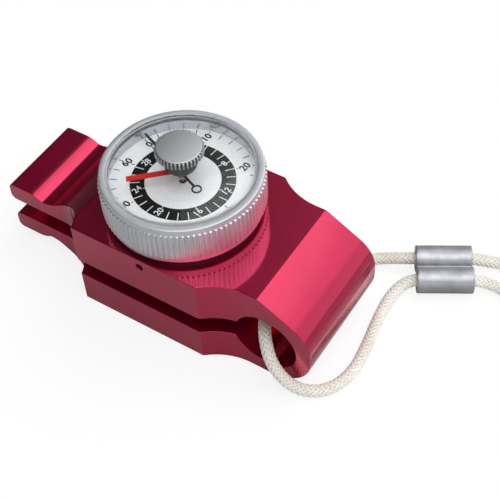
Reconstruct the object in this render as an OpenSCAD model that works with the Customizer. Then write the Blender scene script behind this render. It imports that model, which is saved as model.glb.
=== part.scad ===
// Pinch gauge: a sprung U-shaped frame is squeezed between thumb and finger. The closing of its two arms
// pushes a plunger, and a rack, a face-geared sector and a pinion turn the force pointer on the dial.
// Frame: bottom centre at the origin, +X to the bend, -Y to the front, +Z up. Millimetres.

/* [Frame] */
// Length from the pad tips to the end of the bend
body_l = 102; // [98:1:108]
// Width of the wide middle part
body_w = 44.45; // [42:0.05:48]
// Height from the bottom face to the top face
body_h = 30.3; // [29:0.1:33]
// Thickness of the lower arm
lower_t = 10.9; // [10:0.1:11.5]
// Slot between the two arms
slot_gap = 5.9; // [5:0.1:6.5]
// Width of the finger pads
pad_w = 26.8; // [23:0.1:28]
// Width across the bend
bend_w = 35; // [32:0.1:38]
// Length of the straight-sided pads
pad_l = 19; // [16:0.5:21]
// Length of the concave flare from the pads to the wide part
flare_l = 11.8; // [10:0.1:14]
// Length of the wide part
wide_l = 40.2; // [38:0.1:42]
// Length of the concave scoop from the wide part to the bend
scoop_l = 12.5; // [10:0.1:13]

/* [Finger pads] */
// Thickness of a pad at its crown
pad_t = 6; // [5.4:0.1:6.8]
// Thickness of an arm at the finger trough
trough_t = 4.5; // [4:0.1:5]
// Length of the pad crown
crown_l = 7.6; // [6:0.1:8]
// Radius of the shoulder behind the crown
shoulder_r = 7; // [6:0.1:8]
// Radius of the tip edges
tip_r = 1.8; // [0.8:0.1:2.2]
// Distance from the tip to the foot of the ramp
ramp_foot = 14.7; // [14:0.1:16]
// Slope of the ramp up to the wide part
ramp_angle = 31; // [28:1:36]
// Radius of the hollow at the foot of the ramp
trough_r = 8; // [5:0.5:9]

/* [Bend] */
// Distance from the end of the bend to the crease in the top face
nose_l = 15.4; // [14:0.1:17]
// Radius of the upper part of the bend
nose_r = 9.9; // [9:0.1:11]
// Height of the centre of the bend's upper part
nose_z = 15.9; // [15:0.1:16.5]
// Radius of the lower part of the bend
low_r = 13; // [12:0.1:14]
// Thickness of the spring wall at the end of the bend
wall_t = 4.4; // [4:0.1:5]
// Radius of the round hole that ends the slot in the bend
hole_r = 9.2; // [8.6:0.1:9.4]
// Height of the centre of that hole
hole_z = 13.2; // [12.9:0.1:13.5]
// Hairline between the two halves of the frame in the spring wall
flex_gap = 0.05; // [0.02:0.01:0.1]

/* [Bezel and dial] */
// Distance from the wide part's pad end to the dial axis
dial_back = 22.3; // [21:0.1:23.5]
// Radius over the ribs of the bezel
bezel_r = 22.2; // [21.5:0.05:23]
// Depth of the flutes between the ribs
flute_d = 0.45; // [0.2:0.05:0.5]
// Number of ribs round the bezel
bezel_ribs = 96; // [72:4:120]
// Wall of the bezel over the ribs
bezel_wall = 1.42; // [1.3:0.01:1.8]
// Height of the bezel
bezel_h = 12.7; // [12.3:0.1:13.5]
// Gap between the frame's top face and the bezel
bezel_gap = 1.75; // [1.5:0.05:2]
// Width by which the bezel's lip covers the crystal's brim
lip_w = 0.85; // [0.7:0.05:1.2]
// Thickness of the bezel's lip
lip_t = 1; // [0.8:0.1:1.2]
// Running clearance between the bezel and the case
bezel_clear = 0.15; // [0.1:0.01:0.25]
// Thickness of the dial plate
dial_t = 0.5; // [0.3:0.1:0.8]
// Height of the dial's face above the frame's top face
dial_rise = 9.1; // [8.9:0.1:9.3]
// Thickness of the crystal
crystal_t = 1.2; // [1:0.1:1.5]
// Height of the crystal above the bezel's lip
crystal_proud = 0.55; // [0.4:0.05:0.8]

/* [Pointers and knob] */
// Reach of the black force pointer
force_reach = 19; // [17:0.1:19.2]
// Reach of the red peak pointer
peak_reach = 14.6; // [13:0.1:16]
// Angle of the zero mark about the dial axis, from +X
zero_angle = 157; // [90:1:180]
// Angle that the peak pointer stands past zero
peak_angle = 294; // [200:1:320]
// Radius over the knob's ribs
knob_r = 6.45; // [6:0.05:7]
// Number of ribs round the knob
knob_ribs = 38; // [20:2:40]
// Height of the knob over the crystal
knob_h = 7.4; // [6:0.1:8]
// Thickness of the knob's ribbed head
knob_head = 2.4; // [1.8:0.1:3]
// Radius of the smooth collar under the knob's head
collar_r = 4.4; // [3.8:0.1:5]
// Radius of the stem that passes through the crystal
stem_r = 1.5; // [1.2:0.1:1.8]

/* [Movement] */
// Radius of the case's spigot in the frame
spigot_r = 8; // [7.8:0.1:8.6]
// Depth of the spigot below the frame's top face
spigot_l = 9.9; // [9.6:0.1:10.2]
// Wall of the case and its spigot
case_t = 1.2; // [1:0.1:1.4]
// Floor of the case
floor_t = 1.5; // [1.2:0.1:1.6]
// Radius of the plunger
plunger_r = 2; // [1.8:0.05:2.1]
// Module of the rack and its pinion
rack_m = 0.4; // [0.38:0.01:0.42]
// Teeth of the rack's pinion
rack_teeth = 10; // [9:1:11]
// Module of the sector and the pointer's pinion
sector_m = 0.35; // [0.33:0.01:0.36]
// Teeth of the sector in a full circle
sector_teeth = 50; // [48:1:51]
// Teeth of the pointer's pinion
pinion_teeth = 8; // [8:1:9]
// Play between meshing teeth
backlash = 0.2; // [0.16:0.01:0.24]
// Height of the pointer's pinion above the frame's top face
mesh_rise = 6; // [5.8:0.1:6.2]
// Radius of the pointer's arbor
arbor_r = 0.5; // [0.4:0.05:0.6]
// Running clearance of a pivot in its bearing
pivot_clear = 0.03; // [0.02:0.01:0.05]
// Clearance of a piece in its seat
seat_clear = 0.02; // [0.01:0.01:0.04]
// Radius of the anvil button
anvil_r = 3; // [2.6:0.1:3.4]
// Rest gap between the contact point and the anvil
tip_gap = 0.05; // [0.03:0.01:0.1]
// Radius of the return spring at the middle of its wire
spring_r = 2.6; // [2.5:0.05:2.7]
// Radius of the return spring's wire
wire_r = 0.2; // [0.15:0.01:0.25]
// Turns of the return spring
spring_turns = 5; // [4:1:6]
// Radius of the clamp screw
clamp_r = 1.05; // [0.9:0.05:1.25]
// Depth of the clamp screw's head below the front face
clamp_sunk = 1.6; // [1:0.1:2.5]

/* [Lanyard] */
// Diameter of the braided cord
cord_d = 3.5; // [3:0.1:3.6]
// Length of the ferrule
ferrule_l = 15.8; // [12:0.1:18]
// Radius of each barrel of the ferrule
barrel_r = 3.8; // [3.4:0.1:4]
// Distance between the barrels of the ferrule
barrel_pitch = 7.7; // [7:0.1:7.7]

/* [Hidden] */
$fn = 96;
// Overlap by which neighbouring outlines of one piece run into each other
lap = 0.5;
// Frame stations along X, and heights
tip_x = -body_l / 2;
nose_x = body_l / 2;
shoulder_x = tip_x + crown_l;
ramp_x = tip_x + ramp_foot;
flare_x = tip_x + pad_l;
wide_x = flare_x + flare_l;
scoop_x = wide_x + wide_l;
bend_x = scoop_x + scoop_l;
crease_x = nose_x - nose_l;
slot_top = lower_t + slot_gap;
upper_t = body_h - slot_top;
flare_h = (body_w - pad_w) / 2;
flare_r = (flare_l ^ 2 + flare_h ^ 2) / (2 * flare_h);
scoop_h = (body_w - bend_w) / 2;
scoop_r = (scoop_l ^ 2 + scoop_h ^ 2) / (2 * scoop_h);
// The bend: centre of the hole, the circles of the upper and lower parts, the tangent from the crease
hole_c = [nose_x - wall_t - hole_r, hole_z];
nose_c = [nose_x - nose_r, nose_z];
low_c = [nose_x - low_r, low_r];
crease = [crease_x, body_h];
to_nose = nose_c - crease;
slope = atan2(to_nose.y, to_nose.x) + asin(nose_r / norm(to_nose));
tangent = nose_c + nose_r * [-sin(slope), cos(slope)];
// The flexure's axis lies on the inner edge of the spring wall
pivot_x = hole_c.x + hole_r;
pivot_z = hole_z;
// Dial stations
dial_x = wide_x + dial_back;
bezel_z = body_h + bezel_gap;
lip_top = bezel_z + bezel_h;
lip_under = lip_top - lip_t;
bore_r = bezel_r - bezel_wall;
lip_r = bore_r - lip_w;
lip_edge = 0.3;
bezel_taper = 0.8;
ring_clear = 0.05;
brim_t = 1;
crystal_edge = 0.4;
crystal_wall = 0.6;
spacer_t = 0.7;
clip_w = 1.18;
case_r = bore_r - bezel_clear;
dial_face = body_h + dial_rise;
dial_r = bore_r - 2 * ring_clear;
dial_eye = 1.1;
dial_under = dial_face - dial_t;
crystal_top = lip_top + crystal_proud;
crystal_under = crystal_top - crystal_t;
brim_under = lip_under - brim_t;
rib_low = bezel_z + 1.9;
rib_top = lip_top - 1.95;
clip_t = 0.5;
case_top = dial_under - clip_t - 0.3;
wire_z = bezel_z + 2.4;
// Movement stations
floor_top = body_h + floor_t;
spigot_low = body_h - spigot_l;
rack_r = rack_m * rack_teeth / 2;
mesh_r = sector_m * sector_teeth / 2;
pinion_r = sector_m * pinion_teeth / 2;
mesh_z = body_h + mesh_rise;
sector_z = mesh_z - mesh_r;
face_w = 1;
tooth_in = 0.117;
plunger_y = rack_r + 1.2;
rod_top = sector_z - rack_r - rack_m - 2.4;
bar_top = sector_z + 2.2;
bush_r = plunger_r + 0.9;
passage_r = spring_r + wire_r + 0.6;
ear_x = 4.8;
ear_t = 0.8;
ear_w = 4;
ear_drop = 2;
flange_l = 6;
flange_w = 5;
foot_x = 9.2;
cock_z = mesh_z - 2.1;
cock_t = 0.7;
plate_z = mesh_z + 0.9;
plate_t = 0.7;
pillar_d = 11.5;
pillar_r = 1.5;
screw_r = 0.6;
screw_head = 1.1;
head_t = 0.5;
screw_l = 3;
hair_z = plate_z + plate_t + 0.15;
hair_w = 0.4;
hair_t = 0.15;
hair_turns = 4;
hair_in = 1.1;
hair_out = 4;
collet_r = 0.95;
stud_r = 0.3;
anvil_top = lower_t + 0.3;
anvil_l = 4.3;
tip_z = anvil_top + tip_gap;
dome_r = 1.4;
collar_z = tip_z + 1.2;
collar_t = 0.9;
stud_l = 2;
clamp_z = body_h - 3;
// Pointer heights
force_z = dial_face + 2.6;
pointer_t = 0.25;
peak_z = crystal_under - 0.8;
hub_top = crystal_under - 0.2;
washer_t = 0.15;
knob_flute = 0.4;
knob_edge = 0.35;
bowl_r = 1.4;
stem_in = 3;
// Ferrule and cord: the ferrule's middle and heading, and the points of the cord's two stretches
ferrule_c = [63.9, 35.2, barrel_r];
ferrule_a = 30;
along = [cos(ferrule_a), sin(ferrule_a), 0];
across = [-sin(ferrule_a), cos(ferrule_a), 0];
cord_sides = 8;
function barrel(side, step) = ferrule_c + step * ferrule_l / 2 * along + side * barrel_pitch / 2 * across;
lanyard_points = [
    [57.4, 27.7, 3.4], [56, 26.7, 2.9], [55.1, 24.6, 2.3], [54.8, 21.5, 1.9], [54.8, 18, 1.8],
    [55.3, 14, 1.8], [56.1, 8.7, 1.8], [56.9, 4.2, 1.8], [57.6, -1.1, 1.8], [57.9, -5.8, 1.8],
    [57.3, -10.5, 1.8], [55.6, -14.6, 1.8], [52.7, -17.5, 1.9], [49.4, -19.2, 2.5], [46.7, -20, 3.9],
    [44.4, -20.3, 6], [42.4, -20.4, 8.5], [40.8, -20.3, 11.1], [39.4, -19.6, 13.6], [37.8, -18.2, 15.3],
    [36, -16, 15.9], [34.8, -13.4, 15], [34.3, -10.4, 12.8], [34.5, -7, 10.2], [35.1, -3, 8],
    [36.1, 2, 6.5], [37.3, 8, 6], [38.5, 13.5, 6.2], [39.8, 17.6, 6.6], [41, 21.2, 6],
    [42, 24.7, 4.6], [43.3, 28, 3.4], [45.6, 30.7, 2.9], [48.8, 32.4, 3], [52, 33.3, 3.4]];
wrist_points = [
    [72, 44.2, 3.2], [76.2, 46.4, 2.2], [83, 49.9, 1.8], [92, 54.5, 1.8], [101, 58.8, 1.8],
    [111, 61.5, 1.8], [121, 61.3, 1.8], [131, 58, 1.8], [139.5, 51.5, 1.8], [145, 43, 1.8],
    [146.5, 33.5, 1.8], [144, 24, 1.8], [138, 16.5, 1.8], [129.5, 12, 1.8], [119.5, 11, 1.8],
    [110, 13.5, 1.8], [102.5, 19.3, 1.8], [97, 26.5, 1.8], [91.8, 33, 1.8], [86.2, 37.4, 1.8],
    [80.6, 38.7, 1.9], [76.2, 37.7, 2.8]];
lanyard_route = concat([barrel(-1, 0), barrel(-1, -1)], lanyard_points, [barrel(1, -1), barrel(1, 0)]);
wrist_route = concat([barrel(1, 0), barrel(1, 1)], wrist_points, [barrel(-1, 1), barrel(-1, 0)]);

// Tooth forms
function involute(a) = tan(a) * 180 / PI - a;
pressure = 20;
// Half angle of a pinion tooth at radius q
function tooth_half(r, thick, q) =
    thick / 2 / r * 180 / PI + involute(pressure)
    - involute(acos(min(1, r * cos(pressure) / q)));
function polar(q, a) = [q * cos(a), q * sin(a)];

// Outline of a pinion with a gap on its +X side
module pinion_outline(teeth, m, thick, shy) {
    r = teeth * m / 2;
    radii = [r - shy - 0.08, r * cos(pressure), r, r + m];
    polygon([for (i = [0:teeth - 1]) for (side = [-1, 1]) for (k = [0:3])
        let (q = radii[side < 0 ? k : 3 - k])
        polar(q, (i + 0.5) * 360 / teeth + side * tooth_half(r, thick, max(q, radii[1])))]);
}

// Straight-flanked tooth: reaches out by shy past the pitch line, and root back from it
module rack_tooth(thick, shy, root) {
    lean = tan(pressure);
    polygon([[-thick / 2 - root * lean, -root], [thick / 2 + root * lean, -root],
        [thick / 2 - shy * lean, shy], [-thick / 2 + shy * lean, shy]]);
}

// Disc outline with straight ribs round it
module ribbed(r, depth, ribs) {
    step = 360 / ribs;
    polygon([for (i = [0:ribs - 1]) for (p = [[0, 0], [0.45, 0], [0.6, depth], [0.85, depth]])
        polar(r - p.y, (i + p.x) * step)]);
}

// Ring between two radii and two heights
module ring(r_in, r_out, z_low, z_high) {
    rotate_extrude()
        translate([r_in, z_low])
            square([r_out - r_in, z_high - z_low]);
}

module on_dial() {
    translate([dial_x, 0, 0])
        children();
}

module on_plunger() {
    translate([dial_x, plunger_y, 0])
        children();
}

// Side view of an arm from its pad tip to the top of its ramp, with the slot's face at zero
module arm_side(t) {
    ramp_l = (t - trough_t) / tan(ramp_angle);
    reach = trough_r * tan(ramp_angle / 2);
    intersection() {
        union() {
            translate([tip_x + tip_r, 0])
                square([crown_l - tip_r, pad_t]);
            translate([tip_x, tip_r])
                square([crown_l, pad_t - 2 * tip_r]);
            for (h = [tip_r, pad_t - tip_r])
                translate([tip_x + tip_r, h])
                    circle(tip_r);
            translate([shoulder_x, pad_t - shoulder_r])
                circle(shoulder_r);
        }
        translate([tip_x, 0])
            square([body_l, pad_t]);
    }
    translate([shoulder_x - lap, 0])
        square([ramp_x - shoulder_x + 2 * lap, trough_t]);
    polygon([[ramp_x, 0], [ramp_x + ramp_l + lap, 0], [ramp_x + ramp_l + lap, t], [ramp_x + ramp_l, t],
        [ramp_x, trough_t]]);
    difference() {
        polygon([[ramp_x - reach, trough_t], [ramp_x, trough_t - 1],
            [ramp_x + reach * cos(ramp_angle), trough_t + reach * sin(ramp_angle)]]);
        translate([ramp_x - reach, trough_t + trough_r])
            circle(trough_r);
    }
    translate([ramp_x + ramp_l, 0])
        square([crease_x - ramp_x - ramp_l, t]);
}

// Side view of the bend, solid
module bend_side() {
    translate(nose_c)
        circle(nose_r);
    intersection() {
        translate(low_c)
            circle(low_r);
        translate([low_c.x - lap, 0])
            square([low_r + lap, low_r]);
    }
    polygon([[crease_x - lap, 0], [low_c.x, 0], low_c, [nose_x, low_r], [nose_x, nose_z], nose_c, tangent,
        crease, [crease_x - lap, body_h]]);
}

// Round hole through the bend, which takes the cord
module bend_hole() {
    translate(hole_c)
        circle(hole_r);
}

// Runs a side view across the whole width of the frame
module crosswise() {
    rotate([90, 0, 0])
        linear_extrude(body_w, center = true)
            children();
}

// Plan of the frame: pads, concave flares, wide part, concave scoops and bend
module frame_plan() {
    translate([tip_x, -pad_w / 2])
        square([body_l, pad_w]);
    translate([wide_x + lap / 2, -body_w / 2])
        square([wide_l - lap, body_w]);
    translate([scoop_x, -bend_w / 2])
        square([nose_x - scoop_x, bend_w]);
    for (side = [-1, 1]) {
        edge = side < 0 ? -body_w / 2 : 0;
        difference() {
            translate([flare_x - lap, edge])
                square([flare_l + 2 * lap, body_w / 2]);
            translate([flare_x, side * (pad_w / 2 + flare_r)])
                circle(flare_r);
        }
        difference() {
            translate([scoop_x - lap, edge])
                square([scoop_l + 2 * lap, body_w / 2]);
            translate([bend_x, side * (bend_w / 2 + scoop_r)])
                circle(scoop_r);
        }
    }
}

// One half of the frame: an arm joined to the part of the bend between two heights
module frame_half(z_low, z_high) {
    intersection() {
        difference() {
            union() {
                children();
                crosswise()
                    bend_side();
            }
            crosswise()
                translate([tip_x - 1, lower_t])
                    square([hole_c.x - tip_x + 1, slot_gap]);
            crosswise()
                bend_hole();
        }
        linear_extrude(body_h)
            frame_plan();
        translate([tip_x, -body_w / 2, z_low])
            cube([body_l, body_w, z_high - z_low]);
    }
}

// Lower half of the sprung frame: lower pad, lower arm and the lower part of the bend
module lower_arm() {
    color("#a5163a")
        difference() {
            frame_half(0, pivot_z - flex_gap / 2)
                translate([0, 0, lower_t])
                    mirror([0, 0, 1])
                        crosswise()
                            arm_side(lower_t);
            on_plunger()
                translate([0, 0, anvil_top - anvil_l])
                    cylinder(h = anvil_l, r = anvil_r + seat_clear);
        }
}

// Upper half of the sprung frame, bored for the gauge's spigot, its plunger and the clamp screw
module upper_arm() {
    color("#a5163a")
        difference() {
            frame_half(pivot_z + flex_gap / 2, body_h)
                translate([0, 0, slot_top])
                    crosswise()
                        arm_side(upper_t);
            on_dial()
                translate([0, 0, spigot_low])
                    cylinder(h = spigot_l + 1, r = spigot_r + seat_clear);
            on_plunger()
                translate([0, 0, lower_t])
                    cylinder(h = spigot_low - lower_t + 0.1, r = passage_r);
            translate([dial_x, 0, clamp_z])
                rotate([90, 0, 0])
                    cylinder(h = body_w, r = clamp_r + seat_clear);
        }
}

// Hardened button that the contact point rests on
module anvil_button() {
    color("silver")
        on_plunger()
            translate([0, 0, anvil_top - anvil_l])
                cylinder(h = anvil_l, r = anvil_r);
}

// Socket set screw that clamps the spigot
module clamp_screw() {
    head_y = -body_w / 2 + clamp_sunk;
    color("dimgray")
        translate([dial_x, head_y, clamp_z])
            rotate([-90, 0, 0])
                difference() {
                    cylinder(h = -head_y - spigot_r - seat_clear - 0.05, r = clamp_r);
                    translate([0, 0, -1])
                        cylinder(h = 2.2, r = clamp_r * 0.55, $fn = 6);
                }
}

// Turned cup of the gauge with the spigot that seats in the frame
module gauge_case() {
    well_r = spigot_r - case_t;
    color("dimgray")
        on_dial()
            difference() {
                union() {
                    ring(case_r - case_t, case_r, body_h, case_top);
                    ring(well_r, case_r - case_t / 2, body_h, floor_top);
                    ring(well_r, spigot_r, spigot_low, floor_top);
                    ring(0, spigot_r - case_t / 2, spigot_low, spigot_low + case_t);
                }
                translate([0, plunger_y, spigot_low - 1])
                    cylinder(h = case_t + 2, r = bush_r + seat_clear);
                translate([0.4, -mesh_r, body_h - 0.5])
                    cube([3.4, 2 * mesh_r, floor_t + 1]);
                for (side = [-1, 1])
                    translate([side * foot_x, 0, body_h - 0.5])
                        cylinder(h = floor_t + 1, r = screw_r + seat_clear);
                rotate_extrude()
                    translate([case_r, wire_z])
                        circle(wire_r + 0.2);
            }
}

// Bearing bush of the plunger
module guide_bush() {
    color("goldenrod")
        on_plunger()
            ring(plunger_r + pivot_clear, bush_r, spigot_low, spigot_low + 2);
}

// Two bent brackets whose ears carry the sector's arbor
module sector_brackets() {
    color("goldenrod")
        on_dial()
            for (turn = [0, 180])
                rotate(turn)
                    difference() {
                        union() {
                            translate([ear_x, -ear_w / 2, sector_z - ear_drop])
                                cube([ear_t, ear_w, floor_top + ear_t - sector_z + ear_drop]);
                            translate([ear_x, -flange_w / 2, floor_top])
                                cube([flange_l, flange_w, ear_t]);
                        }
                        translate([ear_x - 1, 0, sector_z])
                            rotate([0, 90, 0])
                                cylinder(h = ear_t + 2, r = arbor_r + pivot_clear);
                        translate([foot_x, 0, floor_top - 1])
                            cylinder(h = ear_t + 2, r = screw_r + seat_clear);
                    }
}

// Cantilever cock that carries the lower pivot of the pointer's arbor
module arbor_cock() {
    foot_low = floor_top + ear_t;
    nose = arbor_r + 0.45;
    end = ear_x + flange_l;
    color("goldenrod")
        on_dial()
            difference() {
                union() {
                    translate([-end, -flange_w / 2, foot_low])
                        cube([2 * (end - foot_x), flange_w, cock_z + cock_t - foot_low]);
                    translate([-end, -1.5, cock_z])
                        cube([end + nose, 3, cock_t]);
                }
                translate([0, 0, cock_z - 1])
                    cylinder(h = cock_t + 2, r = arbor_r + pivot_clear);
                translate([-foot_x, 0, foot_low - 1])
                    cylinder(h = cock_z + cock_t - foot_low + 2, r = screw_r + seat_clear);
            }
}

module at_pillars() {
    for (a = [60, 180, 300])
        rotate(a)
            translate([pillar_d + (a == 180 ? 2 : 0), 0, 0])
                children();
}

// Three-armed plate over the movement, with the upper bearing of the pointer's arbor
module top_plate() {
    color("goldenrod")
        on_dial()
            translate([0, 0, plate_z])
                linear_extrude(plate_t)
                    difference() {
                        union() {
                            circle(hair_out + 1.6);
                            for (a = [60, 180, 300])
                                rotate(a)
                                    translate([0, -pillar_r - 0.4])
                                        square([pillar_d + (a == 180 ? 2 : 0), 2 * pillar_r + 0.8]);
                            at_pillars()
                                circle(pillar_r + 0.4);
                        }
                        circle(arbor_r + pivot_clear);
                        at_pillars()
                            circle(screw_r + seat_clear);
                        rotate(90)
                            translate([hair_out + hair_t + stud_r, 0])
                                circle(stud_r + seat_clear);
                    }
}

// Pillars between the case's floor and the top plate
module plate_pillars() {
    color("goldenrod")
        on_dial()
            at_pillars()
                ring(screw_r + seat_clear, pillar_r, floor_top, plate_z);
}

// Cheese-head screws of the brackets, the cock and the top plate
module movement_screws() {
    color("silver")
        on_dial() {
            at_pillars() {
                translate([0, 0, plate_z - screw_l])
                    cylinder(h = screw_l + plate_t, r = screw_r);
                translate([0, 0, plate_z + plate_t])
                    cylinder(h = head_t, r = screw_head);
            }
            for (seat = [[foot_x, floor_top + ear_t], [-foot_x, cock_z + cock_t]]) {
                translate([seat.x, 0, body_h + 0.2])
                    cylinder(h = seat.y - body_h - 0.2, r = screw_r);
                translate([seat.x, 0, seat.y])
                    cylinder(h = head_t, r = screw_head);
            }
        }
}

// Post that holds the outer end of the hairspring
module hairspring_stud() {
    color("silver")
        on_dial()
            rotate(90)
                translate([hair_out + hair_t + stud_r, 0, plate_z])
                    cylinder(h = plate_t + 0.15 + hair_w, r = stud_r);
}

// Flat spiral that takes up the play of the teeth
module hairspring() {
    steps = hair_turns * 24;
    function hair_r(i) = hair_in + (hair_out - hair_in) * i / steps;
    color("steelblue")
        on_dial()
            translate([0, 0, hair_z])
                linear_extrude(hair_w)
                    polygon(concat(
                        [for (i = [0:steps]) polar(hair_r(i) - hair_t / 2, 90 + i * 15)],
                        [for (i = [steps:-1:0]) polar(hair_r(i) + hair_t / 2, 90 + i * 15)]));
}

// Closed tube swept along points, with the ring frame carried on from point to point
function unit(v) = v / norm(v);
function heading(p, i) = unit(p[min(i + 1, len(p) - 1)] - p[max(i - 1, 0)]);
function square_to(v, t) = unit(v - (v * t) * t);
function normals(p, i, v) =
    i == len(p) ? [] : let (n = square_to(v, heading(p, i))) concat([n], normals(p, i + 1, n));
module tube(p, r, sides) {
    n = normals(p, 0, [0.1, 0.2, 1]);
    last = len(p) - 1;
    points = [for (i = [0:last]) let (b = cross(heading(p, i), n[i])) for (k = [0:sides - 1])
        p[i] + r * (cos(k * 360 / sides) * n[i] + sin(k * 360 / sides) * b)];
    walls = [for (i = [0:last - 1]) for (k = [0:sides - 1])
        let (a = i * sides + k, b = i * sides + (k + 1) % sides)
        for (f = [[a, a + sides, b + sides], [a, b + sides, b]]) f];
    start = [for (k = [1:sides - 2]) [0, k, k + 1]];
    stop = [for (k = [1:sides - 2]) [last * sides, last * sides + k + 1, last * sides + k]];
    polyhedron(points, concat(walls, start, stop));
}

// Coil round the plunger that keeps the contact point on the anvil
module return_spring() {
    low = collar_z + collar_t + wire_r + 0.05;
    high = spigot_low - wire_r - 0.05;
    steps = spring_turns * 12;
    color("silver")
        on_plunger()
            tube([for (i = [0:steps]) [spring_r * cos(i * 30), spring_r * sin(i * 30),
                low + (high - low) * i / steps]], wire_r, 6);
}

// Wire in a groove that keeps the bezel on the case
module bezel_wire() {
    color("silver")
        on_dial()
            rotate_extrude()
                translate([case_r, wire_z])
                    circle(wire_r);
}

// Plunger with its rack, facing the sector's arbor
module plunger_rack() {
    pitch = PI * rack_m;
    thick = (pitch - backlash) / 2;
    bar_w = 2;
    root = rack_m + 0.1;
    rod_low = collar_z + collar_t;
    color("silver")
        on_dial() {
            difference() {
                translate([0, plunger_y, rod_low])
                    cylinder(h = rod_top - rod_low, r = plunger_r);
                translate([0, plunger_y, rod_low - 1])
                    cylinder(h = 1 + stud_l + 0.5, r = plunger_r / 2 + seat_clear);
            }
            translate([-bar_w / 2, rack_r + root, rod_top - 0.5])
                cube([bar_w, 1.7, bar_top - rod_top + 0.5]);
            for (i = [-3:1])
                translate([-bar_w / 2, rack_r, sector_z + i * pitch])
                    rotate([0, 90, 0])
                        rotate(180)
                            linear_extrude(bar_w)
                                rack_tooth(thick, rack_r * tooth_in, root);
        }
}

// Screw-in contact point with the spring's collar
module contact_point() {
    color("silver")
        on_plunger()
            rotate_extrude() {
                intersection() {
                    translate([0, tip_z + dome_r])
                        circle(dome_r);
                    translate([0, tip_z])
                        square([dome_r, collar_z + collar_t / 2 - tip_z]);
                }
                translate([0, collar_z])
                    square([spring_r + wire_r, collar_t]);
                translate([0, collar_z])
                    square([plunger_r / 2, collar_t + stud_l]);
            }
}

// Arbor of the sector with the pinion that the rack turns
module sector_arbor() {
    thick = (PI * rack_m - backlash) / 2;
    reach = ear_x + ear_t + 0.1;
    color("silver")
        on_dial()
            translate([0, 0, sector_z])
                rotate([0, 90, 0]) {
                    translate([0, 0, -reach])
                        cylinder(h = 2 * reach, r = arbor_r);
                    translate([0, 0, -1])
                        linear_extrude(2)
                            rotate(90)
                                pinion_outline(rack_teeth, rack_m, thick, rack_r * tooth_in);
                }
}

// Sector with face teeth that mesh with the pinion of the pointer's arbor
module sector_gear() {
    pitch = PI * sector_m;
    thick = (pitch - backlash) / 2;
    step = 360 / sector_teeth;
    root = sector_m + 0.1;
    back = pinion_r + root;
    plate = 1;
    low = -1.4;
    high = 8.4;
    rim = mesh_r + face_w / 2;
    color("goldenrod")
        on_dial()
            translate([0, 0, sector_z]) {
                translate([back, 0, 0])
                    rotate([90, 0, 90])
                        linear_extrude(plate)
                            difference() {
                                union() {
                                    circle(2);
                                    intersection() {
                                        circle(rim);
                                        polygon([[0, 0], for (k = [low, (low + high) / 2, high])
                                            2 * rim * [sin(k * step), cos(k * step)]]);
                                    }
                                }
                                circle(arbor_r + seat_clear);
                            }
                for (k = [-1:8])
                    rotate([-k * step, 0, 0])
                        translate([pinion_r, 0, mesh_r - face_w / 2])
                            linear_extrude(face_w)
                                rotate(90)
                                    rack_tooth(thick, pinion_r * tooth_in, root + 0.02);
            }
}

// Arbor of the force pointer with its pinion
module pointer_arbor() {
    thick = (PI * sector_m - backlash) / 2;
    color("silver")
        on_dial() {
            translate([0, 0, cock_z])
                cylinder(h = force_z + pointer_t + 0.3 - cock_z, r = arbor_r);
            translate([0, 0, mesh_z - face_w / 2 - 0.15])
                linear_extrude(face_w + 0.3)
                    pinion_outline(pinion_teeth, sector_m, thick, pinion_r * tooth_in);
        }
}

// Collet that holds the inner end of the hairspring
module hairspring_collet() {
    color("goldenrod")
        on_dial()
            ring(arbor_r + seat_clear, collet_r, plate_z + plate_t + 0.05, hair_z + hair_w + 0.05);
}

// Tapered needle outline along +X, from a width at the hub to a width at the tip
module needle(reach, wide, narrow) {
    polygon([[0, -wide / 2], [reach - narrow, -narrow / 2], [reach, 0], [reach - narrow, narrow / 2],
        [0, wide / 2]]);
}

// Black pointer with a ring-shaped tail and its hub
module force_pointer() {
    tail = 7;
    eye_r = 1.4;
    color("#18181a")
        on_dial() {
            translate([0, 0, force_z])
                rotate(zero_angle)
                    linear_extrude(pointer_t)
                        difference() {
                            union() {
                                needle(force_reach, 1.3, 0.6);
                                circle(1.3);
                                translate([-tail + eye_r / 2, -0.3])
                                    square([tail - eye_r / 2, 0.6]);
                                translate([-tail, 0])
                                    circle(eye_r);
                            }
                            circle(arbor_r + seat_clear);
                            translate([-tail, 0])
                                circle(eye_r - 0.4);
                        }
            ring(arbor_r + seat_clear, 1.1, force_z - 1, force_z);
        }
}

// Fluted ring that turns the dial to set zero
module bezel() {
    color("lightgray")
        on_dial()
            difference() {
                union() {
                    translate([0, 0, rib_low])
                        linear_extrude(rib_top - rib_low)
                            ribbed(bezel_r, flute_d, bezel_ribs);
                    rotate_extrude()
                        polygon([[0, bezel_z], [bezel_r - bezel_taper, bezel_z], [bezel_r - flute_d, rib_low],
                            [bezel_r - flute_d, lip_top - lip_edge],
                            [bezel_r - flute_d - lip_edge, lip_top], [0, lip_top]]);
                }
                translate([0, 0, bezel_z - 1])
                    cylinder(h = lip_under - bezel_z + 1, r = bore_r);
                translate([0, 0, lip_under - 1])
                    cylinder(h = lip_t + 2, r = lip_r);
                rotate_extrude()
                    translate([case_r, wire_z])
                        circle(wire_r + 0.2);
            }
}

// Top-hat crystal held under the bezel's lip, with a hole for the knob's stem
module crystal() {
    brim_r = bore_r - ring_clear;
    plug_r = lip_r - ring_clear;
    color("white", 0.3)
        on_dial()
            difference() {
                rotate_extrude()
                    polygon([[0, brim_under], [brim_r, brim_under], [brim_r, lip_under],
                        [plug_r, lip_under], [plug_r, crystal_top - crystal_edge],
                        [plug_r - crystal_edge, crystal_top], [0, crystal_top]]);
                translate([0, 0, brim_under - 1])
                    cylinder(h = crystal_under - brim_under + 1, r = plug_r - crystal_wall);
                translate([0, 0, crystal_under - 1])
                    cylinder(h = crystal_t + 2, r = stem_r + pivot_clear);
            }
}

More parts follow.
